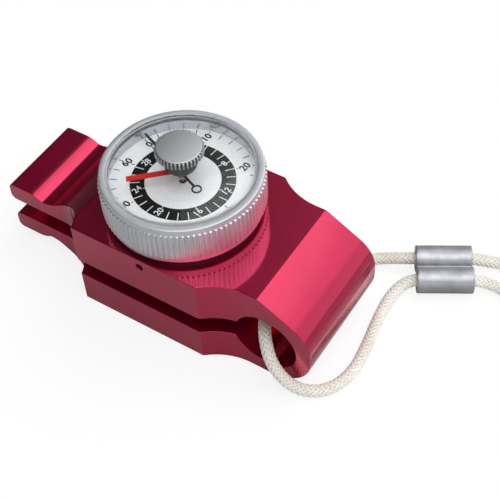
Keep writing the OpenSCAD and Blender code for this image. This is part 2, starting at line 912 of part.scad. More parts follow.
// Ring between the dial plate and the crystal
module spacer_ring() {
    color("lightgray")
        on_dial()
            ring(bore_r - ring_clear - spacer_t, bore_r - ring_clear, dial_face, brim_under);
}

// Printed dial plate
module dial_plate() {
    color("white")
        on_dial()
            ring(dial_eye, dial_r, dial_under, dial_face);
}

// Snap ring that holds the dial plate in the bezel
module dial_clip() {
    color("silver")
        on_dial()
            ring(bore_r - seat_clear - clip_w, bore_r - seat_clear, dial_under - clip_t, dial_under);
}

// Ribbed knob that sets the peak pointer back
module reset_knob() {
    low = crystal_top + ring_clear;
    top = low + knob_h;
    head = top - knob_head;
    rim_r = knob_r - knob_flute;
    color("silver")
        on_dial()
            difference() {
                union() {
                    translate([0, 0, head])
                        linear_extrude(knob_head - knob_edge)
                            ribbed(knob_r, knob_flute, knob_ribs);
                    rotate_extrude() {
                        polygon([[0, head], [rim_r, head], [rim_r, top - knob_edge / 2],
                            [rim_r - knob_edge / 2, top], [0, top]]);
                        translate([0, low])
                            square([collar_r - bowl_r, head - low]);
                        translate([0, low + bowl_r])
                            square([collar_r, head - low - bowl_r]);
                        intersection() {
                            translate([collar_r - bowl_r, low + bowl_r])
                                circle(bowl_r);
                            translate([0, low])
                                square([collar_r, bowl_r + lap]);
                        }
                    }
                }
                translate([0, 0, low - 1])
                    cylinder(h = 1 + stem_in, r = stem_r + seat_clear);
            }
}

// Stem that carries the peak pointer under the crystal
module knob_stem() {
    color("silver")
        on_dial() {
            translate([0, 0, peak_z - 0.2])
                cylinder(h = crystal_top + stem_in - peak_z + 0.2, r = stem_r);
            translate([0, 0, peak_z - 0.4])
                cylinder(h = 0.2, r = stem_r + 0.4);
        }
}

// Red pointer that the force pointer carries to the peak reading
module peak_pointer() {
    hub = stem_r + 0.8;
    blade = 1.7;
    color("#a01830")
        on_dial() {
            translate([0, 0, peak_z])
                rotate(zero_angle - peak_angle)
                    linear_extrude(pointer_t)
                        difference() {
                            union() {
                                translate([0, -blade / 2])
                                    square([peak_reach, blade]);
                                circle(hub);
                            }
                            circle(stem_r + seat_clear);
                        }
            ring(stem_r + seat_clear, hub, peak_z + pointer_t, hub_top);
        }
}

// Sprung washer whose friction holds the peak pointer where it was left
module friction_washer() {
    color("goldenrod")
        on_dial()
            ring(stem_r + 0.05, stem_r + 1, hub_top, hub_top + washer_t);
}

// Crimped sleeve with a barrel for each strand of the cord
module ferrule() {
    color("slategray")
        translate(ferrule_c)
            rotate([90, 0, 90 + ferrule_a])
                linear_extrude(ferrule_l, center = true)
                    difference() {
                        union() {
                            for (side = [-1, 1])
                                translate([side * barrel_pitch / 2, 0])
                                    circle(barrel_r);
                            square([barrel_pitch, barrel_r], center = true);
                        }
                        for (side = [-1, 1])
                            translate([side * barrel_pitch / 2, 0])
                                circle(cord_d / 2 + 0.1);
                    }
}

// Cord from the ferrule, through the bend, back to the ferrule
module lanyard_loop() {
    color("beige")
        tube(lanyard_route, cord_d / 2, cord_sides);
}

// Cord from the ferrule round the wrist and back
module wrist_loop() {
    color("beige")
        tube(wrist_route, cord_d / 2, cord_sides);
}

lower_arm();
anvil_button();
lanyard_loop();
wrist_loop();
ferrule();
upper_arm();
clamp_screw();
gauge_case();
guide_bush();
sector_brackets();
arbor_cock();
top_plate();
plate_pillars();
movement_screws();
hairspring_stud();
hairspring();
return_spring();
bezel_wire();
plunger_rack();
contact_point();
sector_arbor();
sector_gear();
pointer_arbor();
hairspring_collet();
force_pointer();
bezel();
crystal();
spacer_ring();
dial_plate();
dial_clip();
reset_knob();
knob_stem();
peak_pointer();
friction_washer();
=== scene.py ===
import math

import bpy
import numpy as np
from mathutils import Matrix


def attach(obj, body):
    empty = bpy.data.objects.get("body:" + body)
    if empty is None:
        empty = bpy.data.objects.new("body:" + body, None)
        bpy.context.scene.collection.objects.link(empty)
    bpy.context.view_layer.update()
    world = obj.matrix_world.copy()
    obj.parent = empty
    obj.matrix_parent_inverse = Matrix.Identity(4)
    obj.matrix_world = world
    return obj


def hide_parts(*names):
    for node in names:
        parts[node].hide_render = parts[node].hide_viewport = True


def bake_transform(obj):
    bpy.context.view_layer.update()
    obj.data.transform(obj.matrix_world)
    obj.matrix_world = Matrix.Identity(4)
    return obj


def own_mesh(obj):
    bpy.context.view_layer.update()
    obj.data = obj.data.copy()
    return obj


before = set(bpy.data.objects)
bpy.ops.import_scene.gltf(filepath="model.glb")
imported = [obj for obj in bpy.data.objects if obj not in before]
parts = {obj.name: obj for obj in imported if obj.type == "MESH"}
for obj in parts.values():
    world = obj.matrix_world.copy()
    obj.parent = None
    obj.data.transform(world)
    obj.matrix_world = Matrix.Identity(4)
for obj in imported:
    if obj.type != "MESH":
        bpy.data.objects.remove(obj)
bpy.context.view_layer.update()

# Camera: it stands off the gauge's front right corner and looks down on the dial.
# Its place and its long lens follow from measured points of the frame and the bezel.
bpy.context.scene.view_settings.view_transform = "Standard"
bpy.ops.object.select_all(action="DESELECT")
bpy.ops.object.camera_add(
    location=(0.13657, -0.16271, 0.26301),
    rotation=[math.radians(turn) for turn in (39.66, 2.351, 32.285)],
)
camera = bpy.context.object
camera.name = "camera"
camera.data.sensor_width = 36
camera.data.lens = 83.9
bpy.context.scene.camera = camera

# Lanyard: one length of braided polyester cord, 3.5 mm thick and limp. From inside the bend it leaves at
# the front, passes a barrel of the ferrule, makes the wrist loop, passes the other barrel and goes back in.
# Sizes here and below are in millimetres and degrees.
MM = 0.001
CORD_D = 3.5
PATH_STEP = 0.25
front_strand = [
    [33.9, 0.2, 9.8], [33.2, -3, 11], [32.8, -6.2, 12.3], [33, -9.3, 13.4], [34.1, -12.3, 14.2],
    [35.6, -14.8, 14.5], [37, -16.8, 14.3], [38.6, -18.6, 13.4], [40, -19.8, 12], [41.3, -20.4, 10.2],
    [42.7, -20.6, 8.2], [44.5, -20.5, 6], [46.8, -20.1, 4], [49.5, -19.2, 2.6], [52.6, -17.4, 1.9],
    [55.4, -14.5, 1.8], [57.2, -10.5, 1.8], [57.9, -5.8, 1.8], [57.6, -1.1, 1.8], [56.9, 4.2, 1.8],
    [56.1, 8.7, 1.8], [55.4, 13.5, 1.8], [55, 17.5, 1.8], [55, 20.6, 2], [55.6, 23.6, 2.5], [57, 26.2, 3.2]]
near_barrel = [[59.2, 28.1, 3.7], [62, 29.7, 3.8], [65.8, 31.9, 3.8], [69.2, 33.8, 3.8], [72.7, 35.7, 3.8]]
wrist_strand = [
    [76.4, 37.5, 2.9], [80.8, 38.2, 2], [86.2, 37, 1.8], [91.8, 32.8, 1.8], [97, 26.5, 1.8],
    [102.5, 19.3, 1.8], [110, 13.5, 1.8], [119.5, 11, 1.8], [129.5, 12, 1.8], [138, 16.5, 1.8],
    [144, 24, 1.8], [146.5, 33.5, 1.8], [145, 43, 1.8], [139.5, 51.5, 1.8], [131, 58, 1.8],
    [121, 61.3, 1.8], [111, 61.5, 1.8], [101, 58.8, 1.8], [92, 54.5, 1.8], [83, 49.9, 1.8],
    [76.2, 46.4, 2.2], [72, 44.2, 3.2]]
far_barrel = [[68.8, 42.5, 3.8], [65.3, 40.4, 3.8], [62, 38.5, 3.8], [58.5, 36.6, 3.8], [55.1, 34.7, 3.8]]
back_strand = [
    [51.8, 33.1, 3.5], [48.7, 31.7, 3.1], [45.9, 29.8, 3.1], [43.7, 27.2, 3.7], [42.1, 24.2, 4.8],
    [41, 21, 6], [39.9, 17.4, 6.8], [38.6, 13.2, 7], [37.1, 8.6, 7.3], [35.6, 4.4, 8.3], [34.3, 1.2, 9.4]]
route = np.array(front_strand + near_barrel + wrist_strand + far_barrel + back_strand, float)


def smooth_line(points, step, cuts=24):
    """A smooth line through the points, cut into equal steps, and how far along each step lies."""
    padded = np.vstack([2 * points[0] - points[1], points, 2 * points[-1] - points[-2]])
    fine = []
    for a, b, c, d in zip(padded, padded[1:], padded[2:], padded[3:]):
        for t in np.linspace(0, 1, cuts, endpoint=False):
            fine.append(0.5 * (2 * b + (c - a) * t + (2 * a - 5 * b + 4 * c - d) * t**2
                               + (3 * b - a - 3 * c + d) * t**3))
    fine = np.array(fine + [points[-1]])
    run = np.concatenate([[0], np.cumsum(np.linalg.norm(np.diff(fine, axis=0), axis=1))])
    at = np.linspace(0, run[-1], int(run[-1] / step) + 1)
    return np.stack([np.interp(at, run, fine[:, i]) for i in range(3)], axis=1), at


centre, run = smooth_line(route, PATH_STEP)
heading = np.gradient(centre, axis=0)
heading /= np.linalg.norm(heading, axis=1)[:, None]
side = np.cross(heading[0], (0, 0, 1))
sides = []
for way in heading:
    side = side - way * (side @ way)
    side /= np.linalg.norm(side)
    sides.append(side)
sides = np.array(sides)
ups = np.cross(heading, sides)

# Two families of eight yarns cross, each over two and under two, so the yarns stand
# in columns of slanted ribs along the cord, a herringbone.
AROUND = 56
YARNS = 8
YARN_W = 1.4
FURROW = 0.28
FLOOR_GAP = 0.02
turn = np.arange(AROUND) / AROUND
left = run[:, None] / YARN_W + YARNS * turn[None, :]
right = run[:, None] / YARN_W - YARNS * turn[None, :]
over = np.mod(np.floor(left) - np.floor(right), 4) < 2
crown = 1 - (2 * np.where(over, np.mod(left, 1), np.mod(right, 1)) - 1) ** 2
radius = CORD_D / 2 - FURROW * (1 - crown)
spokes = np.cos(2 * math.pi * turn)[None, :, None] * sides[:, None, :]
spokes = spokes + np.sin(2 * math.pi * turn)[None, :, None] * ups[:, None, :]
skin = centre[:, None, :] + radius[:, :, None] * spokes
skin[:, :, 2] = np.maximum(skin[:, :, 2], FLOOR_GAP)
rings = len(centre)
index = np.arange(rings * AROUND).reshape(rings, AROUND)
after = np.roll(index, -1, axis=1)
faces = np.stack([index[:-1], after[:-1], after[1:], index[1:]], axis=2).reshape(-1, 4).tolist()
faces += [index[0][::-1].tolist(), index[-1].tolist()]
braid = bpy.data.meshes.new("lanyard_cord")
braid.from_pydata((skin.reshape(-1, 3) * MM).tolist(), [], faces)
yarn = braid.attributes.new("yarn", "FLOAT", "POINT")
yarn.data.foreach_set("value", crown.reshape(-1).astype(np.float32))
lanyard = bpy.data.objects.new("lanyard_cord", braid)
bpy.context.collection.objects.link(lanyard)
bpy.ops.object.select_all(action="DESELECT")
lanyard.select_set(True)
bpy.context.view_layer.objects.active = lanyard
bpy.ops.object.mode_set(mode="EDIT")
bpy.ops.mesh.select_all(action="SELECT")
bpy.ops.mesh.normals_make_consistent(inside=False)
bpy.ops.object.mode_set(mode="OBJECT")
bpy.ops.object.shade_smooth()


def linear(code):
    """A colour written as sRGB hex, as the shaders take it."""
    channels = [int(code[i:i + 2], 16) / 255 for i in (1, 3, 5)]
    return [c / 12.92 if c <= 0.04045 else ((c + 0.055) / 1.055) ** 2.4 for c in channels] + [1.0]


def wire(tree, node, settings, links):
    """Gives a node its settings, its inputs' values, a ramp's colour stops and the sockets that feed it."""
    for name, value in settings.items():
        if name == "stops":
            for stop, (position, code) in zip(node.color_ramp.elements, value):
                stop.position = position
                stop.color = linear(code)
        elif hasattr(node, str(name)):
            setattr(node, name, value)
        else:
            node.inputs[name].default_value = value
    for name, source in links.items():
        tree.links.new(source, node.inputs[name])


def add(tree, kind, settings, links=None):
    """Adds a node and wires it."""
    made = tree.nodes.new(kind)
    wire(tree, made, settings, links or {})
    return made


def new_finish(name):
    """A named material with its node tree, its surface shader and the place of a point on the object."""
    made = bpy.data.materials.new(name)
    made.use_nodes = True
    tree = made.node_tree
    return made, tree, tree.nodes["Principled BSDF"], add(tree, "ShaderNodeTexCoord", {}).outputs["Object"]


# Braided polyester: off-white yarns with a soft sheen, and grey painted shade in the furrows between them.
polyester, tree, shader, place = new_finish("braided_polyester")
depth = add(tree, "ShaderNodeAttribute", {"attribute_name": "yarn"})
soil = add(tree, "ShaderNodeTexNoise", {"Scale": 1 / (9 * MM), "Detail": 3.0}, {"Vector": place})
# Painted shade: the colour turns grey where the yarn's crown dips into a furrow and stays off-white on the
# crests.
shade = add(tree, "ShaderNodeValToRGB", {"stops": ((0.05, "#9c9682"), (0.55, "#f8f6f0"))},
            {"Fac": depth.outputs["Fac"]})
tone = add(tree, "ShaderNodeValToRGB", {"stops": ((0.35, "#f3f0e8"), (0.65, "#ffffff"))},
           {"Fac": soil.outputs["Fac"]})
both = add(tree, "ShaderNodeMix", {"data_type": "RGBA", "blend_type": "MULTIPLY", 0: 1.0},
           {6: shade.outputs["Color"], 7: tone.outputs["Color"]})
fibre = add(tree, "ShaderNodeTexNoise", {"Scale": 1 / (0.16 * MM), "Detail": 2.0}, {"Vector": place})
fuzz = add(tree, "ShaderNodeBump", {"Strength": 0.25, "Distance": 0.05 * MM},
           {"Height": fibre.outputs["Fac"]})
wire(tree, shader, {"Roughness": 0.75, "Sheen Weight": 0.25, "Sheen Roughness": 0.4},
     {"Base Color": both.outputs[2], "Normal": fuzz.outputs["Normal"]})
lanyard.data.materials.append(polyester)
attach(lanyard, "lower_arm")
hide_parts("lanyard_loop", "wrist_loop")

# Ferrule: a drawn aluminium sleeve with two barrels, slid over both strands and pressed shut,
# so the metal between the barrels is creased and the barrels are a little flat where the press took them.
BARREL_R = 3.8
BARREL_BORE = 1.85
BARREL_PITCH = 7.7
WEB = 1.1
FERRULE_L = 15.8
FERRULE_TURN = 30
FERRULE_AT = (63.9, 35.2, 3.8)
FERRULE_RIM = 0.18
PRESS_AT, PRESS_L, PRESS_W = 1.2, 3.2, 2.4
PRESS_SHARE = 0.035
waist = math.degrees(math.asin(WEB / BARREL_R))
sleeve = []
for sign in (1, -1):
    for a in np.linspace(-180 + waist, 180 - waist, 37):
        spread = math.radians(a)
        sleeve.append((sign * (BARREL_PITCH / 2 + BARREL_R * math.cos(spread)),
                       sign * BARREL_R * math.sin(spread)))


def outline_solid(name, outline, push, steps=1):
    """Fills a closed outline and pulls it out along push into a solid."""
    bpy.ops.object.select_all(action="DESELECT")
    bpy.ops.mesh.primitive_circle_add(vertices=len(outline), fill_type="NGON")
    piece = bpy.context.object
    piece.name = piece.data.name = name
    for corner, point in zip(piece.data.vertices, outline):
        corner.co = [p * MM for p in point]
    bpy.ops.object.mode_set(mode="EDIT")
    bpy.ops.mesh.select_all(action="SELECT")
    for _ in range(steps):
        bpy.ops.mesh.extrude_region_move(
            TRANSFORM_OT_translate={"value": [p * MM / steps for p in push]})
    bpy.ops.mesh.select_all(action="SELECT")
    bpy.ops.mesh.normals_make_consistent(inside=False)
    bpy.ops.object.mode_set(mode="OBJECT")
    return piece


def apply_modifier(piece, kind, **settings):
    """Adds a modifier to the piece, sets it and applies it."""
    bpy.ops.object.select_all(action="DESELECT")
    piece.select_set(True)
    bpy.context.view_layer.objects.active = piece
    made = piece.modifiers.new(kind.lower(), kind)
    for name, value in settings.items():
        setattr(made, name, value)
    bpy.ops.object.modifier_apply(modifier=made.name)


def carve(piece, tool, operation="DIFFERENCE"):
    """Cuts the piece with the tool, or to it, and throws the tool away."""
    apply_modifier(piece, "BOOLEAN", object=tool, operation=operation, solver="EXACT")
    bpy.data.objects.remove(tool)


def bore(piece, radius, deep, at, tilt, corners):
    """Drills a round hole, given by its radius, its depth, its middle and how it is turned from upright."""
    bpy.ops.object.select_all(action="DESELECT")
    bpy.ops.mesh.primitive_cylinder_add(
        vertices=corners, radius=radius * MM, depth=deep * MM, location=[p * MM for p in at],
        rotation=[math.radians(a) for a in tilt])
    carve(piece, bpy.context.object)


def break_edges(piece, width, sharp):
    """Bevels the edges that turn by more than the angle called sharp."""
    apply_modifier(piece, "BEVEL", width=width * MM, segments=2, limit_method="ANGLE",
                   angle_limit=math.radians(sharp), use_clamp_overlap=False)


ferrule = outline_solid(
    "crimp_ferrule", [(-FERRULE_L / 2, y, z) for y, z in sleeve], (FERRULE_L, 0, 0), steps=24)
for point in ferrule.data.vertices:
    x, y, z = point.co / MM
    near_press = math.exp(-((x - PRESS_AT) / PRESS_L) ** 2)
    on_barrel = math.exp(-((abs(y) - BARREL_PITCH / 2) / PRESS_W) ** 2)
    point.co.z = z * (1 - PRESS_SHARE * near_press * on_barrel) * MM
for sign in (1, -1):
    bore(ferrule, BARREL_BORE, 2 * FERRULE_L, (0, sign * BARREL_PITCH / 2, 0), (0, 90, 0), corners=40)
break_edges(ferrule, FERRULE_RIM, sharp=50)
bpy.ops.object.shade_smooth_by_angle(angle=math.radians(40))
ferrule.rotation_euler[2] = math.radians(FERRULE_TURN)
ferrule.location = [p * MM for p in FERRULE_AT]
bpy.ops.object.transform_apply(location=True, rotation=True, scale=True)

# Drawn aluminium gone dull: blue-grey, with the marks of the press round the barrels and rubbed patches.
dull_aluminium, tree, shader, place = new_finish("drawn_aluminium")
lie = add(tree, "ShaderNodeMapping", {"Rotation": (0, 0, math.radians(-FERRULE_TURN))}, {"Vector": place})
stretch = add(tree, "ShaderNodeMapping", {"Scale": (1, 0.08, 0.08)}, {"Vector": lie.outputs["Vector"]})
lines = add(tree, "ShaderNodeTexNoise", {"Scale": 1 / (0.7 * MM), "Detail": 3.0},
            {"Vector": stretch.outputs["Vector"]})
rub = add(tree, "ShaderNodeTexNoise", {"Scale": 1 / (3.5 * MM), "Detail": 4.0}, {"Vector": place})
tone = add(tree, "ShaderNodeValToRGB", {"stops": ((0.35, "#a8a9af"), (0.65, "#b8b9bf"))},
           {"Fac": rub.outputs["Fac"]})
gloss = add(tree, "ShaderNodeMapRange", {"To Min": 0.28, "To Max": 0.5}, {"Value": lines.outputs["Fac"]})
score = add(tree, "ShaderNodeBump", {"Strength": 0.3, "Distance": 0.05 * MM},
            {"Height": lines.outputs["Fac"]})
wire(tree, shader, {"Metallic": 1.0}, {
    "Base Color": tone.outputs["Color"], "Roughness": gloss.outputs["Result"],
    "Normal": score.outputs["Normal"]})
ferrule.data.materials.append(dull_aluminium)
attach(ferrule, "lower_arm")
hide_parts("ferrule")

# Spring frame: one block of aluminium, milled to two arms round a slot and joined by a bend that gives
# when the pads are pinched. Its edges are broken and the whole block is anodised red.
BODY_H = 30.3
SLOT_LOW, SLOT_HIGH = 10.9, 16.8
STOCK_W = 48
NECK, RAMP_FOOT, RAMP_ANGLE, RAMP_ROUND = 4.5, -36.3, 31, 8
EDGE = 0.3
DIAL_X = 2.1
PLUNGER_Y = 3.2


def arc(centre_x, centre_y, radius, start, stop, steps):
    """Points on an arc."""
    angles = [math.radians(start + (stop - start) * i / steps) for i in range(steps + 1)]
    return [(centre_x + radius * math.cos(a), centre_y + radius * math.sin(a)) for a in angles]


def arm_outline(thick):
    """The outer side of an arm from its slot face at the tip to the top of its ramp: length, height."""
    tip = arc(-49.2, 1.8, 1.8, 270, 180, 8) + arc(-49.2, 4.2, 1.8, 180, 90, 8)
    shoulder = arc(-43.4, -1, 7, 90, 55.44, 10) + arc(-38.578, 6, 1.5, 235.44, 270, 6)[1:]
    reach = RAMP_ROUND * math.tan(math.radians(RAMP_ANGLE / 2))
    ramp = arc(RAMP_FOOT - reach, NECK + RAMP_ROUND, RAMP_ROUND, 270, 270 + RAMP_ANGLE, 8)
    ramp.append((RAMP_FOOT + (thick - NECK) / math.tan(math.radians(RAMP_ANGLE)), thick))
    return tip + shoulder + ramp


upper = [(x, SLOT_HIGH + h) for x, h in arm_outline(BODY_H - SLOT_HIGH)]
lower = [(x, SLOT_LOW - h) for x, h in arm_outline(SLOT_LOW)]
bend = [(35.6, BODY_H)] + arc(41.1, 15.9, 9.9, 60.86, 0, 24) + arc(38, 13, 13, 0, -90, 36)
hole = arc(37.4, 13.2, 9.2, 194.48, 516.96, 80)
side_view = upper + bend + lower[::-1] + hole
spring_frame = outline_solid("spring_frame", [(x, -STOCK_W / 2, z) for x, z in side_view], (0, STOCK_W, 0))

# The plan: narrow pads, a concave flare on each side, the wide middle, and scoops that lead to the bend.
half_plan = [(-52, 13.4)] + arc(-32, 25.701, 12.301, -90, -16.42, 24)
half_plan += arc(32.5, 36.397, 18.897, 228.59, 270, 20) + [(52, 17.5)]
plan = half_plan + [(x, -y) for x, y in half_plan[::-1]]
carve(spring_frame, outline_solid("plan_cutter", [(x, y, -1) for x, y in plan], (0, 0, 33)), "INTERSECT")

# Bores: the gauge's spigot and its plunger in the upper arm, the anvil button in the lower arm,
# and the clamp screw.
bore(spring_frame, 8.02, 12, (DIAL_X, 0, 26.4), (0, 0, 0), corners=64)
bore(spring_frame, 3.4, 8, (DIAL_X, PLUNGER_Y, 17.4), (0, 0, 0), corners=64)
bore(spring_frame, 3.02, 6, (DIAL_X, PLUNGER_Y, 9.9), (0, 0, 0), corners=64)
bore(spring_frame, 1.07, 26, (DIAL_X, -13, 27.3), (90, 0, 0), corners=64)
break_edges(spring_frame, EDGE, sharp=25)
bpy.ops.object.shade_smooth_by_angle(angle=math.radians(24))
apply_modifier(spring_frame, "WEIGHTED_NORMAL", keep_sharp=True)

# Red anodised aluminium: dye under a hard clear oxide, a little uneven over a few centimetres. The top
# mirrors sharply and its grain runs along the frame. The pads and the bend are duller,
# and the bend is brushed across.
TOP_MIDDLE, TOP_HALF = 1.6, 33.9
BEND_FROM = 35.5
red_anodised, tree, shader, place = new_finish("red_anodised_aluminium")
along = add(tree, "ShaderNodeMapping", {"Scale": (0.05, 1, 1)}, {"Vector": place})
grain = add(tree, "ShaderNodeTexNoise", {"Scale": 1 / (0.25 * MM), "Detail": 2.0},
            {"Vector": along.outputs["Vector"]})
dye = add(tree, "ShaderNodeTexNoise", {"Scale": 1 / (18 * MM), "Detail": 2.0}, {"Vector": place})
tone = add(tree, "ShaderNodeValToRGB", {"stops": ((0.3, "#bf1047"), (0.7, "#ca144d"))},
           {"Fac": dye.outputs["Fac"]})
length = add(tree, "ShaderNodeSeparateXYZ", {}, {"Vector": place})
from_middle = add(tree, "ShaderNodeMath", {"operation": "SUBTRACT", 1: TOP_MIDDLE * MM},
                  {0: length.outputs["X"]})
either_way = add(tree, "ShaderNodeMath", {"operation": "ABSOLUTE"}, {0: from_middle.outputs["Value"]})
brushed = add(tree, "ShaderNodeMapRange", {
    "From Min": TOP_HALF * MM, "From Max": (TOP_HALF + 0.3) * MM, "To Min": 0.03, "To Max": 0.1},
    {"Value": either_way.outputs["Value"]})
gloss = add(tree, "ShaderNodeMath", {"operation": "MULTIPLY_ADD", 1: 0.12}, {
    0: grain.outputs["Fac"], 2: brushed.outputs["Result"]})
milled = add(tree, "ShaderNodeBump", {"Strength": 0.008, "Distance": 0.01 * MM},
             {"Height": grain.outputs["Fac"]})
across = add(tree, "ShaderNodeMapping", {"Scale": (1, 0.02, 1)}, {"Vector": place})
streaks = add(tree, "ShaderNodeTexNoise", {"Scale": 1 / (0.9 * MM), "Detail": 2.0},
              {"Vector": across.outputs["Vector"]})
on_bend = add(tree, "ShaderNodeMapRange", {
    "From Min": BEND_FROM * MM, "From Max": (BEND_FROM + 1) * MM, "To Min": 0.0, "To Max": 0.1},
    {"Value": length.outputs["X"]})
scratched = add(tree, "ShaderNodeBump", {"Distance": 0.05 * MM}, {
    "Strength": on_bend.outputs["Result"], "Height": streaks.outputs["Fac"],
    "Normal": milled.outputs["Normal"]})
wire(tree, shader, {"Metallic": 0.85, "Coat Weight": 0.8, "Coat Roughness": 0.08}, {
    "Base Color": tone.outputs["Color"], "Roughness": gloss.outputs["Value"],
    "Normal": scratched.outputs["Normal"]})
spring_frame.data.materials.clear()
spring_frame.data.materials.append(red_anodised)
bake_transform(spring_frame)
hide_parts("lower_arm", "upper_arm")

# Bezel: a turned aluminium ring that holds the dial and the crystal and turns on the gauge's case.
# Its wall is knurled with 96 straight ribs between a plain polished foot and a plain lip.
BEZEL_R = 22.2
BEZEL_RIBS = 96
RIB_DEPTH = 0.45
RIB_FLANK = 1.2
CUTS_PER_RIB = 12
LIP_FOOT = 42.8


def turn_up(name, profile, steps):
    """Turns a closed profile of radius and height round the dial's axis."""
    bpy.ops.object.select_all(action="DESELECT")
    bpy.ops.mesh.primitive_circle_add(vertices=len(profile), fill_type="NOTHING")
    piece = bpy.context.object
    piece.name = piece.data.name = name
    for corner, (r, z) in zip(piece.data.vertices, profile):
        corner.co = ((DIAL_X + r) * MM, 0, z * MM)
    bpy.ops.object.mode_set(mode="EDIT")
    bpy.ops.mesh.select_all(action="SELECT")
    bpy.ops.mesh.spin(steps=steps, angle=2 * math.pi, center=(DIAL_X * MM, 0, 0), axis=(0, 0, 1))
    bpy.ops.mesh.select_all(action="SELECT")
    bpy.ops.mesh.remove_doubles(threshold=0.002 * MM)
    bpy.ops.mesh.normals_make_consistent(inside=False)
    bpy.ops.object.mode_set(mode="OBJECT")
    return piece


def press_ribs(piece, outer, ribs):
    """Presses ribs with steep flanks into what stands out beyond a turned piece's plain radius."""
    plain = outer - RIB_DEPTH
    for point in piece.data.vertices:
        x, y = point.co.x / MM - DIAL_X, point.co.y / MM
        r = math.hypot(x, y)
        proud = r - plain
        if proud > 0.001:
            rib = min(1.0, max(0.0, 0.5 + RIB_FLANK * math.sin(ribs * math.atan2(y, x))))
            pressed = plain + proud * rib
            point.co.x = (DIAL_X + x * pressed / r) * MM
            point.co.y = y * pressed / r * MM


bezel = turn_up("bezel_ring", [
    (20.78, 32.05), (21.08, 32.05), (21.4, 32.2), (21.69, 33.5), (21.75, 33.75), (21.75, 33.95),
    (22.01, 34.05), (22.15, 34.2), (BEZEL_R, 34.45), (BEZEL_R, 42.62), (22.16, 42.74), (22.05, LIP_FOOT),
    (21.75, LIP_FOOT), (21.75, 44.58), (21.71, 44.68), (21.63, 44.73), (21.5, 44.75), (20.2, 44.75),
    (20.05, 44.71), (19.95, 44.6), (19.93, 43.75), (20.78, 43.75)], CUTS_PER_RIB * BEZEL_RIBS)
press_ribs(bezel, BEZEL_R, BEZEL_RIBS)
bpy.ops.object.shade_smooth_by_angle(angle=math.radians(45))

# Satin aluminium: blasted fine and clear anodised, pale and even, with a soft wide gloss, softest on the lip.
satin_aluminium, tree, shader, place = new_finish("satin_aluminium")
blast = add(tree, "ShaderNodeTexNoise", {"Scale": 1 / (0.12 * MM), "Detail": 2.0}, {"Vector": place})
cloud = add(tree, "ShaderNodeTexNoise", {"Scale": 1 / (7 * MM), "Detail": 2.0}, {"Vector": place})
tone = add(tree, "ShaderNodeValToRGB", {"stops": ((0.3, "#dcdfe4"), (0.7, "#ebedf1"))},
           {"Fac": cloud.outputs["Fac"]})
height = add(tree, "ShaderNodeSeparateXYZ", {}, {"Vector": place})
lip = add(tree, "ShaderNodeMapRange", {
    "From Min": (LIP_FOOT - 0.1) * MM, "From Max": (LIP_FOOT + 0.1) * MM, "To Min": 0.36, "To Max": 0.42},
    {"Value": height.outputs["Z"]})
gloss = add(tree, "ShaderNodeMath", {"operation": "MULTIPLY_ADD", 1: 0.1}, {
    0: blast.outputs["Fac"], 2: lip.outputs["Result"]})
pits = add(tree, "ShaderNodeBump", {"Strength": 0.06, "Distance": 0.01 * MM},
           {"Height": blast.outputs["Fac"]})
wire(tree, shader, {"Metallic": 1.0}, {
    "Base Color": tone.outputs["Color"], "Roughness": gloss.outputs["Value"],
    "Normal": pits.outputs["Normal"]})
bezel.data.materials.append(satin_aluminium)
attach(bezel, "bezel")
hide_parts("bezel")

# Crystal: a top hat of clear acrylic, moulded and then turned, that sits under the bezel's lip.
# Its wall and brim are left matt from the mould, and its window carries faint wipe marks.
WINDOW_R = 19.1
crystal = turn_up("crystal_window", [
    (1.53, 45.3), (19.5, 45.3), (19.69, 45.25), (19.83, 45.11), (19.88, 44.92), (19.88, 43.74),
    (20.73, 43.74), (20.73, 42.75), (19.28, 42.75), (19.28, 43.9), (19.22, 44.04), (19.08, 44.1),
    (1.53, 44.1)], 288)
bpy.ops.object.shade_smooth_by_angle(angle=math.radians(40))


def off_axis(tree, place):
    """How far a point stands from the dial's axis, in metres."""
    flat = add(tree, "ShaderNodeMapping", {"Location": (-DIAL_X * MM, 0, 0), "Scale": (1, 1, 0)},
               {"Vector": place})
    out = add(tree, "ShaderNodeVectorMath", {"operation": "LENGTH"}, {0: flat.outputs["Vector"]})
    return out.outputs["Value"]


# Clear acrylic: colourless, with the gloss of a moulding; lamp light falls through it on the dial.
acrylic, tree, shader, place = new_finish("clear_acrylic")
wipe = add(tree, "ShaderNodeTexNoise", {"Scale": 1 / (6 * MM), "Detail": 4.0}, {"Vector": place})
edge = add(tree, "ShaderNodeMapRange", {
    "From Min": WINDOW_R * MM, "From Max": (WINDOW_R + 0.2) * MM, "To Min": 0.0, "To Max": 0.5},
    {"Value": off_axis(tree, place)})
gloss = add(tree, "ShaderNodeMath", {"operation": "MULTIPLY_ADD", 1: 0.01}, {
    0: wipe.outputs["Fac"], 2: edge.outputs["Result"]})
wire(tree, shader, {"Base Color": linear("#fbfcfc"), "IOR": 1.49, "Transmission Weight": 1.0},
     {"Roughness": gloss.outputs["Value"]})
path = add(tree, "ShaderNodeLightPath", {})
clear = add(tree, "ShaderNodeBsdfTransparent", {})
passed = add(tree, "ShaderNodeMixShader", {}, {
    0: path.outputs["Is Shadow Ray"], 1: shader.outputs["BSDF"], 2: clear.outputs["BSDF"]})
tree.links.new(passed.outputs["Shader"], tree.nodes["Material Output"].inputs["Surface"])
crystal.data.materials.append(acrylic)
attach(crystal, "bezel")
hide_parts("crystal")

